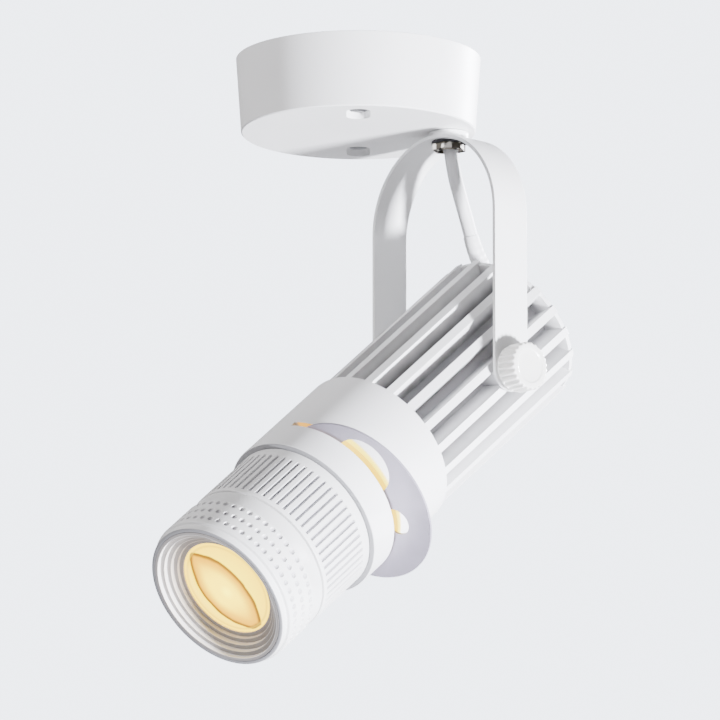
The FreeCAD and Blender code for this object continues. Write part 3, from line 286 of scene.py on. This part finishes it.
def coated(name, colour, roughness, grain, grain_size, edge=0.0, coat=0.0, shading=None):
    """Painted or moulded surface: fine grain in the bump, a little cloudiness in the tone."""
    finish = Finish(name)
    cloud = finish.noise(38.0, 3.0)
    speck = finish.noise(900.0, 1.0)
    tone = finish.mix(cloud.between(0.35, 0.7) * 0.6, [0.972 * c for c in colour], colour)
    tone = finish.mix(speck.between(0.62, 0.75) * 0.25, tone, [0.94 * c for c in colour])
    normal = finish.soft_edges(edge) if edge else None
    height = finish.noise(1.0 / grain_size, 2.0, 0.55)
    finish.shade(base_color=tone, roughness=roughness + (cloud - 0.5) * 0.10,
                 normal=finish.bump(height, 0.35, grain, normal))
    if coat:
        finish.shade(coat_weight=coat, coat_roughness=0.12)
    if shading:
        shading(finish, tone)
    return finish.material


# In the head: the wheel's centre across it, and the front faces of collar, guide and front tube.
WHEEL_X, WHEEL_Y = 0.0175, -0.0038
COLLAR_FRONT, GUIDE_FRONT, TUBE_FRONT = 0.1088, 0.1087, 0.1700


def leaking_light(finish, tone):
    """Painted glow: warm light painted as emission on the collar's inside, on the wheel slot's
    faces and just behind the slot.
    """
    x, y, s = finish.in_head()
    radius = (x * x + y * y) ** 0.5
    from_x = x - WHEEL_X
    from_y = y - WHEEL_Y
    by_wheel = 1 - ((from_x * from_x + from_y * from_y) ** 0.5).between(0.0368, 0.0376)
    inside = (1 - radius.between(0.0328, 0.0334)) * s.between(0.070, 0.085)
    in_slot = s.between(0.09195, 0.09210) * (1 - s.between(0.0940, 0.0948))
    face = in_slot * radius.between(0.0325, 0.0332) * x.between(0.0066, 0.0078)
    behind = s.between(0.0890, 0.0904) * (1 - s.between(0.0930, 0.0940))
    spill = by_wheel * (behind * radius.between(0.0355, 0.0360)) * x.between(0.0190, 0.0200)
    warm = finish.mix(spill, (0.0, 0.0, 0.0), (5.0, 3.9, 0.12))
    face_glow = finish.mix(x.between(0.016, 0.024), (1.9, 0.85, 0.04), (3.6, 2.3, 0.03))
    warm = finish.mix(face, warm, face_glow)
    warm = finish.mix(inside, warm, (3.6, 2.3, 0.10))
    lit = spill.maths("MAXIMUM", face).maths("MAXIMUM", inside)
    # Painted shade greys the collar's front face; under the painted glow the base colour turns dark
    # brown.
    tone = in_own_shade(finish, s, COLLAR_FRONT, tone)
    finish.shade(base_color=finish.mix(lit * 0.85, tone, (0.10, 0.06, 0.01)), emission_color=warm,
                 emission_strength=1.0)


def in_own_shade(finish, s, front, tone, low=0.38):
    """Painted shade: a greyer tone on the end face that lies at or past the given front, where that
    face sits in shade.
    """
    return finish.mix(s.between(front, front + 0.0001), tone, (low, low, low * 1.04))


def painted_shade_mouth(finish, tone):
    """The guide tube's flange, which shows at the collar's mouth: its end face gets painted shade.
    """
    s = finish.in_head()[2]
    finish.shade(base_color=in_own_shade(finish, s, GUIDE_FRONT, tone))


def painted_shade_in_hollows(finish, tone, low, high, floor):
    """Painted shade in the grooves or dimples that lie between two heights of the barrel: their
    floors are painted darker.
    """
    x, y, s = finish.in_head()
    sunk = 1 - ((x * x + y * y) ** 0.5).between(floor, floor + 0.0006)
    sunk = sunk * s.between(low, low + 0.0002) * (1 - s.between(high - 0.0002, high))
    return finish.mix(sunk, tone, (0.52, 0.51, 0.535)), s


def grooved(finish, tone):
    # Painted shade on the groove floors.
    finish.shade(base_color=painted_shade_in_hollows(finish, tone, 0.1137, 0.1405, 0.0332)[0])


def dimpled(finish, tone):
    # Painted shade on the dimple floors and on the tube's front face.
    tone, s = painted_shade_in_hollows(finish, tone, 0.1503, 0.1648, 0.0333)
    finish.shade(base_color=in_own_shade(finish, s, TUBE_FRONT, tone, 0.36))


def painted_shade_channels(finish, tone):
    """Painted shade down between the fins: the tone falls off toward the core."""
    x, y = finish.in_head()[:2]
    radius = (x * x + y * y) ** 0.5
    streak = finish.noise(120.0, 2.0)
    height = (radius + (streak - 0.5) * 0.003).between(0.0258, 0.0338)
    finish.shade(base_color=finish.mix(height, (0.34, 0.335, 0.34), tone))


STEPS_OUT, STEP_WIDE = 0.0299, 0.002025


def painted_tread_shade(finish, tone):
    """Painted shade: darker treads on the four steps, which face away from the light, and risers
    that turn warmer inward.
    """
    x, y = finish.in_head()[:2]
    radius = (x * x + y * y) ** 0.5
    tread = ((STEPS_OUT - radius) / STEP_WIDE).maths("FRACT").between(0.12, 0.17)
    warm = finish.mix(1 - radius.between(0.0220, 0.0290), tone, (0.80, 0.70, 0.60))
    finish.shade(base_color=finish.mix(tread * 0.85, warm, (0.30, 0.275, 0.26)))


def bare_metal(name, colour, roughness, edge=0.0, metallic=1.0):
    """Metal with a fine, even grain and a little cloudiness in the tone."""
    finish = Finish(name)
    grain = finish.noise(1500.0, 3.0, 0.6)
    cloud = finish.noise(60.0, 2.0)
    tone = finish.mix(cloud.between(0.3, 0.75), [0.88 * c for c in colour], colour)
    normal = finish.soft_edges(edge) if edge else None
    finish.shade(base_color=tone, metallic=metallic, roughness=roughness + (grain - 0.5) * 0.16,
                 normal=finish.bump(grain, 0.25, 0.00003, normal))
    return finish.material


def nickel_plate():
    """Bright plating with painted reflections: broad patches of dark and light in the colour stand
    in for what a mirror of a plain room shows.
    """
    finish = Finish("nickel plate")
    painted_reflection = finish.noise(260.0, 1.0).between(0.46, 0.56)
    grain = finish.noise(1500.0, 2.0)
    tone = finish.mix(painted_reflection, (0.07, 0.062, 0.05), (0.78, 0.74, 0.67))
    finish.shade(base_color=tone, metallic=1.0, roughness=0.12 + grain * 0.08,
                 normal=finish.bump(grain, 0.2, 0.00003, finish.soft_edges(0.0003)))
    return finish.material


LENS_R = 0.0201
LEAF_CIRCLES = ((-0.01215, -0.0052, 0.02356), (0.01023, 0.00315, 0.0248))


def glowing_lens():
    """Lit lens: a yellow disc that carries the orange image of the light source.

    The image is a leaf, the part that two circles share.  For each circle the depth is
    its radius less the distance to its centre, and the leaf's depth is the lesser one."""
    finish = Finish("lit lens")
    x, y = finish.in_head()[:2]
    wander = (finish.noise(140.0, 2.0) - 0.5) * 0.0013
    depths = []
    for centre_x, centre_y, radius in LEAF_CIRCLES:
        from_x = x - centre_x
        from_y = y - centre_y
        depths.append(radius - (from_x * from_x + from_y * from_y) ** 0.5)
    radial = (x * x + y * y) ** 0.5
    depth = depths[0].maths("MINIMUM", depths[1]).maths("MINIMUM", LENS_R - radial)
    depth = depth + wander
    tip = (y + 0.0006).maths("ABSOLUTE")
    tone = finish.mix(radial.between(0.012, 0.0215), (5.6, 4.1, 0.0), (5.2, 3.4, 0.0))
    leaf = finish.mix(tip.between(0.004, 0.017), (6.2, 4.5, 0.0), (4.2, 2.3, 0.0))
    leaf = finish.mix(depth.between(0.0012, 0.0072), (3.3, 1.60, 0.0), leaf)
    tone = finish.mix(depth.between(-0.0001, 0.0009), tone, leaf)
    line = depth.between(-0.0008, -0.0001) * (1 - depth.between(0.0003, 0.0018))
    tone = finish.mix(line * 0.95, tone, (0.60, 0.22, 0.02))
    rim = radial.between(0.0192, 0.0198) * (1 - radial.between(0.0200, 0.0206))
    tone = finish.mix(rim * 0.5, tone, (2.4, 1.6, 0.10))
    heart = (x * x + (y + 0.0015) * (y + 0.0015)) ** 0.5
    tone = finish.mix((1 - heart.between(0.0002, 0.0042)) * 0.7, tone, (7.6, 6.4, 0.1))
    finish.shade(base_color=(0.04, 0.02, 0.0), roughness=0.05 + wander * 8, emission_color=tone,
                 emission_strength=1.0, specular_ior_level=0.15)
    return finish.material


def clear_glass():
    finish = Finish("clear glass")
    smear = finish.noise(30.0, 2.0)
    finish.shade(base_color=(0.95, 0.97, 0.97), roughness=0.02 + smear * 0.03,
                 transmission_weight=1.0, ior=1.5)
    return finish.material


def circuit_board():
    """Green lacquer with paler tracks where a coarse cell pattern has its borders."""
    finish = Finish("printed board")
    cells = finish.node("ShaderNodeTexVoronoi", {"feature": "DISTANCE_TO_EDGE"},
                        {"Vector": finish.place, "Scale": 240.0})
    track = 1 - cells.between(0.02, 0.06)
    tone = finish.mix(track, (0.02, 0.12, 0.06), (0.09, 0.30, 0.14))
    finish.shade(base_color=tone, roughness=0.35 + track * 0.15,
                 normal=finish.bump(track, 0.4, 0.00008))
    return finish.material


def phosphor():
    finish = Finish("phosphor")
    grain = finish.noise(2500.0, 2.0)
    tone = finish.mix(grain, (0.95, 0.70, 0.16), (1.0, 0.84, 0.34))
    finish.shade(base_color=tone, roughness=0.4, emission_color=tone, emission_strength=2.5)
    return finish.material


def moulding(name, shading=None):
    return coated(name, (0.85, 0.85, 0.84), 0.42, 0.00003, 0.0004, 0.0003, shading=shading)


FINISHES = {
    "white_steel": coated("powder coat", (0.86, 0.86, 0.855), 0.46, 0.00004, 0.0006, 0.0004),
    "white_cast": coated("painted casting", (0.86, 0.86, 0.86), 0.50, 0.00005, 0.0005, 0.0003),
    "white_plastic": moulding("white moulding"),
    "knob_plastic": coated("knob moulding", (0.85, 0.84, 0.80), 0.32, 0.00002, 0.0005, 0.0, 0.3),
    "black_plastic": coated("black moulding", (0.03, 0.03, 0.034), 0.5, 0.00003, 0.0004, 0.0003),
    "chrome": nickel_plate(),
    "zinc_steel": bare_metal("zinc plate", (0.62, 0.62, 0.63), 0.34, edge=0.0002),
    "wheel_metal": bare_metal("satin sheet", (0.43, 0.40, 0.485), 0.42, metallic=0.25),
    "bare_aluminium": bare_metal("bare aluminium", (0.76, 0.76, 0.77), 0.36),
    "black_aluminium": coated("black anodising", (0.03, 0.03, 0.033), 0.45, 0.00002, 0.0004),
    "circuit_board": circuit_board(),
    "led_white": coated("white mask", (0.85, 0.85, 0.82), 0.4, 0.00002, 0.0004),
    "phosphor": phosphor(),
    "lens_glass": glowing_lens(),
    "clear_glass": clear_glass(),
    "cord_white": coated("cord sheath", (0.80, 0.80, 0.805), 0.48, 0.00003, 0.0007),
    "lead_sheath": coated("lead sheath", (0.70, 0.70, 0.68), 0.5, 0.00002, 0.0005),
    "grey_rubber": coated("grey rubber", (0.16, 0.16, 0.165), 0.7, 0.00004, 0.0005),
}


def give_finish(piece, name):
    piece.data.materials.clear()
    piece.data.materials.append(FINISHES[name])
    return piece


# Finishes with painted light: painted glow and shade on the collar, and painted shade between the
# fins, on the guide's end face and on the baffle's treads.
OWN_FINISHES = {
    "collar_housing": coated("collar casting", (0.86, 0.86, 0.86), 0.50, 0.00005, 0.0005, 0.0003,
                             shading=leaking_light),
    "heat_sink": coated("finned casting", (0.87, 0.87, 0.87), 0.45, 0.00005, 0.0005, 0.0003,
                        shading=painted_shade_channels),
    "guide_tube": coated("guide casting", (0.86, 0.86, 0.86), 0.50, 0.00005, 0.0005, 0.0003,
                         shading=painted_shade_mouth),
    "baffle": coated("stepped baffle", (0.80, 0.78, 0.76), 0.50, 0.00003, 0.0005,
                     shading=painted_tread_shade),
}

for name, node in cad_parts.items():
    for slot in node.material_slots:
        slot.material = FINISHES[slot.material.name.split(".")[0]]
        if name in OWN_FINISHES:
            slot.material = OWN_FINISHES[name]


# ------------------------------------------------------------------ cord and leads

CORD_POINTS = [
    (0.026276, 0.028276, -0.0225), (0.026276, 0.028276, -0.04266), (0.026276, 0.038876, -0.06916),
    (0.026276, 0.044195, -0.083734), (0.026276, 0.051796, -0.09302),
]
CORD_R = 0.003
BOOT_LENGTH, BOOT_R, BOOT_TAPER, BOOT_RING = 0.021, 0.0040, 0.0007, 0.00015


def make_power_cord():
    """Round sheath from the swivel tube down to the rear cover."""
    line = line_through("power_cord_line", CORD_POINTS)
    cord = give_finish(tube_along("power_cord_sheath", line, CORD_R, (1, 0, 0)), "cord_white")
    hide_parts("power_cord")
    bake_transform(cord)
    return line


def make_boot(line):
    """Tapered sleeve on the cord's last stretch: seven soft rings on a cone."""
    back = np.cumsum(np.r_[0, np.linalg.norm(np.diff(line[::-1], axis=0), axis=1)])
    along = np.linspace(0.0, BOOT_LENGTH, 72)
    path = np.stack([np.interp(along, back, line[::-1, k]) for k in range(3)], axis=1)
    share = along / along[-1]
    rings = BOOT_RING * np.cos(14 * np.pi * share) * (1 - share)
    radius = BOOT_R - BOOT_TAPER * share + rings
    boot = give_finish(tube_along("cord_boot", path, radius, (1, 0, 0)), "cord_white")
    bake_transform(boot)


def make_leads():
    """Two insulated leads from the swivel tube over to the terminals."""
    routes = {
        "lead_live": [(0.027448, 0.027187, -0.0222), (0.027302, 0.026913, -0.0138),
                      (0.022119, 0.021218, -0.0086), (0.016051, 0.01457, -0.0107),
                      (0.012884, 0.009869, -0.02195), (0.008538, 0.004488, -0.02465)],
        "lead_neutral": [(0.025104, 0.029365, -0.0222), (0.024841, 0.0292, -0.0138),
                         (0.019541, 0.023614, -0.0086), (0.013356, 0.017075, -0.0107),
                         (0.008899, 0.013572, -0.02195), (0.00385, 0.008845, -0.02465)],
    }
    across = (-math.sin(CANOPY_TURN), math.cos(CANOPY_TURN), 0.0)
    for name, points in routes.items():
        line = line_through(name + "_line", points)
        lead = give_finish(tube_along(name, line, 0.0012, across, 14), "lead_sheath")
        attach(lead, "canopy")
        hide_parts("inner_leads")


cord_line = make_power_cord()
make_boot(cord_line)
make_leads()


# ------------------------------------------------------------------ focusing barrel

def make_grip_ring():
    """Focusing ring with 62 round-ended grooves.

    The radius is the profile's radius less a groove depth, which is a trough
    across the angle times a half-round run-out at both ends along the axis."""
    count, land_r, groove_depth = 62, 0.0340, 0.0012
    low, high, nose = 0.1140, 0.1400, 0.0007
    across = np.array([-0.72, -0.60, -0.32, 0.0, 0.32, 0.60, 0.72]) / 1000
    trough = np.array([0.0, 0.62, 0.95, 1.0, 0.95, 0.62, 0.0])
    pitch = 2 * np.pi / count
    offsets = np.r_[across / land_r, pitch / 2]
    angle = (np.arange(count)[:, None] * pitch + offsets[None, :]).ravel()
    trough = np.tile(np.r_[trough, 0.0], count)
    run_out = np.array([0.0, 0.12, 0.35, 0.65, 1.0, 1.6]) * nose
    heights = np.r_[low + run_out, np.linspace(low + 0.003, high - 0.003, 6), high - run_out[::-1]]
    past = np.maximum(low + nose - heights, heights - high + nose)
    depth = np.sqrt(1 - np.clip(past / nose, 0, 1) ** 2)
    body = np.stack([np.full_like(heights, land_r), heights, depth], axis=1)
    rear = [(0.02908, 0.1093, 0), (0.0337, 0.1093, 0), (0.03391, 0.10939, 0), (0.0340, 0.1096, 0),
            (0.0340, 0.1130, 0)]
    front = [(0.0340, 0.1410, 0), (0.0340, 0.1416, 0), (0.03388, 0.14188, 0), (0.0336, 0.1420, 0),
             (0.0306, 0.1420, 0), (0.0306, 0.1372, 0), (0.02908, 0.1372, 0)]
    profile = np.vstack([rear, body, front])
    radius = profile[:, 0:1] - groove_depth * profile[:, 2:3] * trough[None, :]
    grid = turned(radius, profile[:, 1:2], angle[None, :])
    ring = skin("grip_ring", placed(grid, HEAD), ring=True)
    give_finish(ring, "white_plastic")
    ring.data.materials[0] = moulding("ring moulding", grooved)
    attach(ring, "zoom")
    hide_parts("zoom_ring")


def make_dimpled_tube():
    """Front tube whose head carries three rows of 54 round dimples.

    Round each dimple the square grid is drawn in to a disc: x = a u sqrt(1 - v v / 2)
    and y = a v sqrt(1 - u u / 2), and the surface sinks by depth * sqrt(1 - rho rho)."""
    count, head_r, pit_r, pit_depth = 54, 0.0341, 0.00130, 0.00095
    rows_at = (0.1519, 0.1575, 0.1631)
    phase = math.radians(11.1)
    pitch = 2 * np.pi / count
    steps = np.array([-1.0, -0.84, -0.48, 0.0, 0.48, 0.84, 1.0])
    half = pitch * head_r / 2 / pit_r
    u = np.tile(np.r_[steps, half], count)
    centre = np.repeat(np.arange(count) * pitch, 8)
    spacing = (rows_at[1] - rows_at[0]) / 2 / pit_r
    v = np.r_[np.tile(np.r_[steps, spacing], 2), steps]
    middle = np.r_[np.repeat(rows_at[:2], 8), np.repeat(rows_at[2:], 7)]
    uu, vv = np.meshgrid(u, v)
    inside = np.maximum(abs(uu), abs(vv)) <= 1.0001
    x = np.where(inside, uu * np.sqrt(np.clip(1 - vv * vv / 2, 0, 1)), uu)
    y = np.where(inside, vv * np.sqrt(np.clip(1 - uu * uu / 2, 0, 1)), vv)
    rho = np.clip(np.hypot(x, y), 0, 1)
    sink = np.where(inside, pit_depth * np.sqrt(1 - rho ** 2), 0.0)
    angle = centre[None, :] - phase + pit_r * x / head_r
    pits_r = head_r - sink
    pits_s = middle[:, None] + pit_r * y
    before = np.array([
        (0.02512, 0.1150), (0.02712, 0.1150), (0.02712, 0.1426), (0.0331, 0.1426),
        (0.03345, 0.14275), (0.0336, 0.1431), (0.0336, 0.14955), (0.0337, 0.1497),
        (0.03395, 0.1499), (0.0341, 0.1501), (0.0341, 0.1503)])
    after = np.array([
        (0.0341, 0.1648), (0.0341, 0.1663), (0.03405, 0.16655), (0.0338, 0.1668), (0.0334, 0.16688),
        (0.0331, 0.1670), (0.03285, 0.1672), (0.03285, 0.1699), (0.03272, 0.1702),
        (0.03245, 0.17035), (0.0314, 0.17035), (0.03105, 0.1701), (0.03105, 0.1629),
        (0.0241, 0.1629), (0.0241, 0.1570), (0.0224, 0.1570), (0.0224, 0.1540), (0.02512, 0.1540)])
    plain = np.zeros_like(x[:1])
    plain_angle = (centre + pit_r * u / head_r)[None, :] - phase
    radius = np.vstack([before[:, 0:1] + plain, pits_r, after[:, 0:1] + plain])
    height = np.vstack([before[:, 1:2] + plain, pits_s, after[:, 1:2] + plain])
    angles = np.vstack([np.repeat(plain_angle, len(before), 0), angle,
                        np.repeat(plain_angle, len(after), 0)])
    tube = skin("dimpled_tube", placed(turned(radius, height, angles), HEAD), ring=True)
    give_finish(tube, "white_plastic")
    tube.data.materials[0] = moulding("front moulding", dimpled)
    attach(tube, "front")
    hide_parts("lens_tube")


# The strap's half width and thickness, two running gaps and a washer.
KNOB_BASE = 0.0363 + 0.0015 + 2 * 0.0003 + 0.0011


def make_knob(name, node, body, side):
    """Clamp knob with 24 rounded ribs round its rim.

    The rim's radius falls between ribs by a clipped cosine of 24 times the angle,
    faded out toward the flange and the face.  The profile is in millimetres."""
    count, rib_depth = 24, 0.75
    angle = np.linspace(0, 2 * np.pi, count * 10, endpoint=False)
    profile = np.array([
        (0.0008, 8.3, 0), (3.08, 8.3, 0), (3.08, 0, 0), (9.6, 0, 0), (9.9, 0.2, 0), (9.9, 0.85, 0),
        (9.95, 1.0, 0.0), (10.2, 1.15, 0.7), (10.3, 1.45, 1), (10.3, 4.5, 1), (10.3, 8.6, 1),
        (10.24, 8.95, 0.95), (10.08, 9.3, 0.8), (9.8, 9.58, 0.5), (9.45, 9.74, 0.2), (9.0, 9.8, 0),
        (7.5, 9.8, 0), (7.25, 9.74, 0), (6.95, 9.42, 0), (6.6, 9.3, 0), (3.0, 9.3, 0),
        (0.0008, 9.3, 0)])
    valley = np.clip(0.5 - 0.75 * np.cos(count * angle), 0, 1)
    radius = (profile[:, 0:1] - rib_depth * profile[:, 2:3] * valley[None, :]) / 1000
    grid = turned(radius, profile[:, 1:2] / 1000, angle[None, :])
    place = (HEAD @ Matrix.Translation((side * KNOB_BASE, 0, 0))
             @ Matrix.Rotation(side * math.pi / 2, 4, "Y"))
    knob = give_finish(skin(name, placed(grid, place)), "knob_plastic")
    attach(knob, body)
    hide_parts(node)


make_grip_ring()
make_dimpled_tube()
make_knob("clamp_knob_right", "knob_right", "knob_r", 1)
make_knob("clamp_knob_left", "knob_left", "knob_l", -1)


# ------------------------------------------------------------------ studio

def flat_sheet(name, middle, across, onward, half, count):
    """Square mesh of count by count points about its middle, spanned by two directions."""
    side = np.linspace(-half, half, count)
    first, second = np.meshgrid(side, side)
    points = (np.array(middle) + first.reshape(-1, 1) * np.array(across)
              + second.reshape(-1, 1) * np.array(onward))
    index = np.arange(count * count).reshape(count, count)
    faces = np.stack([index[:-1, :-1], index[:-1, 1:], index[1:, 1:], index[1:, :-1]], axis=-1)
    mesh = bpy.data.meshes.new(name)
    mesh.from_pydata(points.tolist(), [], faces.reshape(-1, 4).tolist())
    sheet = bpy.data.objects.new(name, mesh)
    bpy.context.collection.objects.link(sheet)
    return sheet


def make_floor():
    """Wide pale plate a room's height below the lamp."""
    floor = flat_sheet("floor", (0.0, 0.0, -2.4), (1.0, 0.0, 0.0), (0.0, 1.0, 0.0), 3.0, 25)
    finish = Finish("pale floor")
    cloud = finish.noise(3.0, 3.0)
    tone = finish.mix(cloud, (0.80, 0.80, 0.81), (0.84, 0.84, 0.85))
    finish.shade(base_color=tone, roughness=0.9)
    floor.data.materials.append(finish.material)


def make_backdrop():
    """Evenly lit upright sheet far behind the lamp, across the camera's view."""
    backdrop = flat_sheet("backdrop", PIVOT + AWAY * 6.0 + UP * 1.25, RIGHT, UP, 0.9, 9)
    finish = Finish("lit paper")
    cloud = finish.noise(2.0, 2.0)
    tone = finish.mix(cloud, (4.20, 4.45, 4.95), (4.34, 4.60, 5.12))
    finish.shade(base_color=(0, 0, 0), roughness=1.0, emission_color=tone, emission_strength=1.0)
    backdrop.data.materials.append(finish.material)


def soft_light(name, place, size, power, colour):
    """Square light that faces the tilt pivot; place is right, toward the camera, up."""
    where = PIVOT + RIGHT * place[0] - AWAY * place[1] + UP * place[2]
    data = bpy.data.lights.new(name, "AREA")
    data.shape = "SQUARE"
    data.size = size
    data.energy = power
    data.color = colour
    lamp = bpy.data.objects.new(name, data)
    bpy.context.collection.objects.link(lamp)
    lamp.location = where
    lamp.rotation_mode = "QUATERNION"
    lamp.rotation_quaternion = (PIVOT - where).to_track_quat("-Z", "Y")


def light_room():
    world = bpy.data.worlds.new("room")
    bpy.context.scene.world = world
    world.use_nodes = True
    back = world.node_tree.nodes["Background"]
    back.inputs["Color"].default_value = (1.0, 0.975, 1.0, 1.0)
    back.inputs["Strength"].default_value = 0.26
    soft_light("main", (1.63, 1.35, -0.90), 0.24, 385.0, (0.91, 0.925, 1.0))
    soft_light("rim", (1.66, -1.44, 0.62), 0.30, 200.0, (0.91, 0.925, 1.0))
    soft_light("fill", (-1.70, 0.50, 1.20), 1.20, 46.0, (1.0, 0.98, 1.0))


make_floor()
make_backdrop()
light_room()
